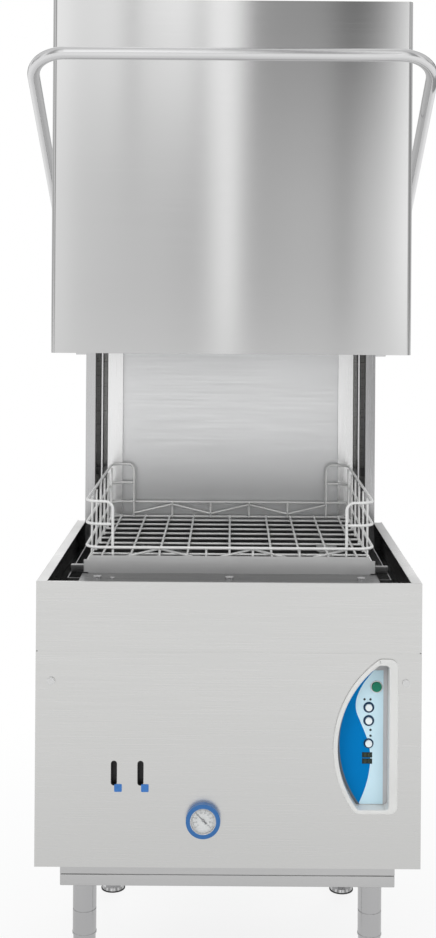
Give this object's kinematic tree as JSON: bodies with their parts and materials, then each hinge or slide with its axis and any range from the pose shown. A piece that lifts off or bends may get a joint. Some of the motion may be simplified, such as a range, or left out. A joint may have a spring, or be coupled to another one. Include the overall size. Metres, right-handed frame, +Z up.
{
  "type": "hood warewasher",
  "caption": "Hood-type pass-through warewasher on legs, hood raised by a bail handle, with wire rack, wash arms, tank, pump and control panel.",
  "frame": {"origin": "on the floor, under the centre of the machine's box with the hood raised", "axes": "+Z up, +X to the right seen from the front, +Y from the front to the back"},
  "size_m": [0.664, 0.845, 1.766],
  "materials": {
    "satin_steel": "satin brushed, horizontal grain",
    "hood_steel": "brushed, horizontal grain",
    "dark_steel": "satin",
    "polished_tube": "polished",
    "white_liner": "bright satin",
    "white_wire": "plastic coated wire",
    "white_plastic": "gloss",
    "blue_plastic": "gloss",
    "panel_print": "printed film, two blues",
    "green_plastic": "gloss",
    "black_plastic": "matt",
    "bearing_nylon": "matt",
    "circuit_board": "matt",
    "spring_steel": "plain",
    "clear_glass": "clear",
    "pump_grey": "satin"
  },
  "bodies": {
    "cabinet": {"front_apron": "satin_steel", "service_panel": "satin_steel", "side_panels": "satin_steel", "base_tray": "dark_steel", "base_frame": "dark_steel", "legs": "dark_steel", "panel_screws": "white_plastic", "gutter_deck": "dark_steel", "tank": "satin_steel", "tank_filters": "satin_steel", "tank_heater": "dark_steel", "ledge": "dark_steel", "lip_plate": "satin_steel", "ledge_screws": "polished_tube", "rack_rails": "satin_steel", "column_left": "dark_steel", "column_right": "dark_steel", "guide_rods": "polished_tube", "back_wall": "white_liner", "shaft_cover": "satin_steel", "pivot_bushes": "bearing_nylon", "spring_anchor": "dark_steel", "balance_springs": "spring_steel", "control_surround": "white_plastic", "control_fascia": "panel_print", "control_board": "circuit_board", "gauge_body": "blue_plastic", "gauge_dial": "white_plastic", "gauge_lens": "clear_glass", "dosing_slots": "black_plastic", "dosing_tags": "blue_plastic", "dosing_pumps": "pump_grey", "electrical_box": "pump_grey", "pump_housing": "pump_grey", "pump_motor": "pump_grey", "wash_pipes": "satin_steel", "booster_boiler": "satin_steel", "inlet_valve": "polished_tube", "drain_pipe": "pump_grey", "cable_gland": "black_plastic"},
    "hood": {"hood_shell": "hood_steel", "hood_guides": "black_plastic"},
    "handle": {"handle_bail": "polished_tube", "pivot_shaft": "polished_tube"},
    "rack": {"wire_rack": "white_wire"},
    "lower_wash": {"lower_arms_wash": "satin_steel"},
    "lower_rinse": {"lower_arms_rinse": "satin_steel"},
    "upper_wash": {"upper_arms_wash": "satin_steel"},
    "upper_rinse": {"upper_arms_rinse": "satin_steel"},
    "rotor": {"pump_rotor": "polished_tube"},
    "power": {"power_button": "green_plastic"},
    "programme_upper": {"programme_button_upper": "white_plastic"},
    "programme_lower": {"programme_button_lower": "white_plastic"},
    "start": {"start_button": "white_plastic"},
    "needle": {"gauge_needle": "black_plastic"},
    "overflow": {"standpipe": "white_plastic"},
    "foot_fl": {"foot_front_left": "dark_steel"},
    "foot_fr": {"foot_front_right": "dark_steel"},
    "foot_rl": {"foot_rear_left": "dark_steel"},
    "foot_rr": {"foot_rear_right": "dark_steel"}
  },
  "joints": [
    {"name": "hood_slide", "type": "slide", "parent": "cabinet", "child": "hood", "axis": [0, 0, -1], "range_m": [0, 0.42], "stiffness_N_per_m": 60, "springref_m": -4.6},
    {"name": "handle_pivot", "type": "hinge", "parent": "cabinet", "child": "handle", "pos_m": [0, 0.3425, 1.162], "axis": [1, 0, 0], "range_deg": [0, 54], "deforming": ["balance_springs"]},
    {"name": "rack_slide", "type": "slide", "parent": "cabinet", "child": "rack", "axis": [1, 0, 0], "range_m": [-0.57, 0.57]},
    {"name": "lower_wash_spin", "type": "hinge", "parent": "cabinet", "child": "lower_wash", "pos_m": [0, 0.027, 0.74], "axis": [0, 0, 1], "continuous": true},
    {"name": "lower_rinse_spin", "type": "hinge", "parent": "cabinet", "child": "lower_rinse", "pos_m": [0, 0.027, 0.765], "axis": [0, 0, 1], "continuous": true},
    {"name": "upper_wash_spin", "type": "hinge", "parent": "cabinet", "child": "upper_wash", "pos_m": [0, 0.027, 1.221], "axis": [0, 0, 1], "continuous": true},
    {"name": "upper_rinse_spin", "type": "hinge", "parent": "cabinet", "child": "upper_rinse", "pos_m": [0, 0.027, 1.198], "axis": [0, 0, 1], "continuous": true},
    {"name": "rotor_spin", "type": "hinge", "parent": "cabinet", "child": "rotor", "pos_m": [0, 0.027, 0.43], "axis": [0, 1, 0], "continuous": true},
    {"name": "power_press", "type": "slide", "parent": "cabinet", "child": "power", "axis": [0, 1, 0], "range_m": [0, 0.003], "stiffness_N_per_m": 400, "springref_m": -0.002},
    {"name": "programme_upper_press", "type": "slide", "parent": "cabinet", "child": "programme_upper", "axis": [0, 1, 0], "range_m": [0, 0.003], "stiffness_N_per_m": 400, "springref_m": -0.002},
    {"name": "programme_lower_press", "type": "slide", "parent": "cabinet", "child": "programme_lower", "axis": [0, 1, 0], "range_m": [0, 0.003], "stiffness_N_per_m": 400, "springref_m": -0.002},
    {"name": "start_press", "type": "slide", "parent": "cabinet", "child": "start", "axis": [0, 1, 0], "range_m": [0, 0.003], "stiffness_N_per_m": 400, "springref_m": -0.002},
    {"name": "needle_turn", "type": "hinge", "parent": "cabinet", "child": "needle", "pos_m": [-0.0406, -0.3025, 0.4074], "axis": [0, 1, 0], "range_deg": [0, 270], "stiffness_Nm_per_rad": 0.0005, "springref_deg": -17.19},
    {"name": "overflow_lift", "type": "slide", "parent": "cabinet", "child": "overflow", "axis": [0, 0, 1], "range_m": [0, 0.04]},
    {"name": "foot_fl_screw", "type": "slide", "parent": "cabinet", "child": "foot_fl", "axis": [0, 0, 1], "range_m": [-0.05, 0]},
    {"name": "foot_fr_screw", "type": "slide", "parent": "cabinet", "child": "foot_fr", "axis": [0, 0, 1], "range_m": [-0.05, 0]},
    {"name": "foot_rl_screw", "type": "slide", "parent": "cabinet", "child": "foot_rl", "axis": [0, 0, 1], "range_m": [-0.05, 0]},
    {"name": "foot_rr_screw", "type": "slide", "parent": "cabinet", "child": "foot_rr", "axis": [0, 0, 1], "range_m": [-0.05, 0]}
  ],
  "couplings": [
    {"joint": "handle_pivot", "follows": "hood_slide", "rad_per_m": 2.244}
  ]
}
